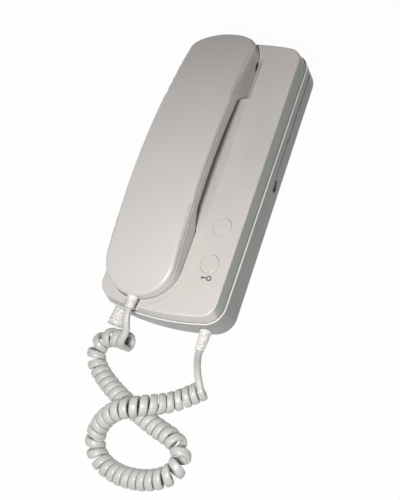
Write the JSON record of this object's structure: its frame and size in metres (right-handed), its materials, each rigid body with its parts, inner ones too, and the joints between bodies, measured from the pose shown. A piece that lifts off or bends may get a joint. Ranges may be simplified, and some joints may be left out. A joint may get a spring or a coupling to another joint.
{
  "type": "wall door-entry handset telephone",
  "caption": "Slim wall telephone: flat two-part base with two push buttons and a volume slide, arched handset in a side cradle, curly cord between base and handset, steel wall bracket.",
  "frame": {"origin": "centre of the base's back plane, where it meets the wall or the table", "axes": "+Z out of the face, +Y towards the ear end, +X towards the buttons and the volume slide"},
  "size_m": [0.0988, 0.3286, 0.0501],
  "materials": {
    "housing_plastic": "satin warm grey, fine moulded grain",
    "cover_plastic": "satin warm off-white",
    "handset_plastic": "glossy warm off-white",
    "button_plastic": "satin warm off-white",
    "pad_plastic": "matt mid grey",
    "dark_plastic": "matt black",
    "cord_vinyl": "semi-gloss greenish grey-white",
    "clear_vinyl": "cloudy clear, slightly mottled",
    "zinc_steel": "zinc plated",
    "spring_steel": "drawn wire",
    "terminal_brass": "plain",
    "board_laminate": "green solder mask",
    "paper_cone": "black pressed paper",
    "gasket_foam": "closed-cell foam",
    "capsule_can": "drawn can"
  },
  "bodies": {
    "base": {"base_boot": "clear_vinyl", "base_lead": "cord_vinyl", "board_screw_1": "zinc_steel", "board_screw_2": "zinc_steel", "board_screw_3": "zinc_steel", "call_switch": "dark_plastic", "capacitor_1": "capsule_can", "capacitor_2": "capsule_can", "cord_coil": "cord_vinyl", "cradle_pad": "pad_plastic", "door_switch": "dark_plastic", "front_cover": "cover_plastic", "handset_lead": "cord_vinyl", "hook_spring": "spring_steel", "hook_switch": "dark_plastic", "housing_screw_1": "zinc_steel", "housing_screw_2": "zinc_steel", "housing_screw_3": "zinc_steel", "housing_screw_4": "zinc_steel", "line_boot": "clear_vinyl", "main_board": "board_laminate", "rear_housing": "housing_plastic", "ringer_cone": "paper_cone", "ringer_speaker": "dark_plastic", "slide_switch": "dark_plastic", "terminal_block": "dark_plastic", "terminal_screw_1": "terminal_brass", "terminal_screw_2": "terminal_brass", "terminal_screw_3": "terminal_brass", "terminal_screw_4": "terminal_brass", "transformer": "dark_plastic"},
    "handset": {"handset_boot": "clear_vinyl", "handset_inner_shell": "handset_plastic", "handset_outer_shell": "handset_plastic", "handset_screw_ear": "zinc_steel", "handset_screw_mouth": "zinc_steel", "handset_weight": "zinc_steel", "microphone_capsule": "capsule_can", "microphone_holder": "gasket_foam", "receiver_capsule": "capsule_can", "receiver_gasket": "gasket_foam"},
    "call_button": {"call_button": "button_plastic"},
    "door_button": {"door_button": "button_plastic"},
    "hook_plunger": {"hook_plunger": "dark_plastic"},
    "volume_knob": {"volume_knob": "dark_plastic"},
    "wall_bracket": {"wall_bracket": "zinc_steel"}
  },
  "joints": [
    {"name": "handset_lift", "type": "slide", "parent": "base", "child": "handset", "axis": [0, 0, 1], "range_m": [0, 0.06]},
    {"name": "call_button_press", "type": "slide", "parent": "base", "child": "call_button", "axis": [0, 0, -1], "range_m": [0, 0.001], "stiffness_N_per_m": 400, "springref_m": -0.001},
    {"name": "door_button_press", "type": "slide", "parent": "base", "child": "door_button", "axis": [0, 0, -1], "range_m": [0, 0.001], "stiffness_N_per_m": 400, "springref_m": -0.001},
    {"name": "hook_plunger_rise", "type": "slide", "parent": "base", "child": "hook_plunger", "axis": [0, 0, 1], "range_m": [0, 0.004], "deforming": ["hook_spring"]},
    {"name": "volume_slide", "type": "slide", "parent": "base", "child": "volume_knob", "axis": [0, 1, 0], "range_m": [0, 0.0046]},
    {"name": "bracket_slide", "type": "slide", "parent": "base", "child": "wall_bracket", "axis": [0, -1, 0], "range_m": [0, 0.006]}
  ],
  "couplings": [
    {"joint": "hook_plunger_rise", "follows": "handset_lift", "ratio": 0.066667}
  ]
}
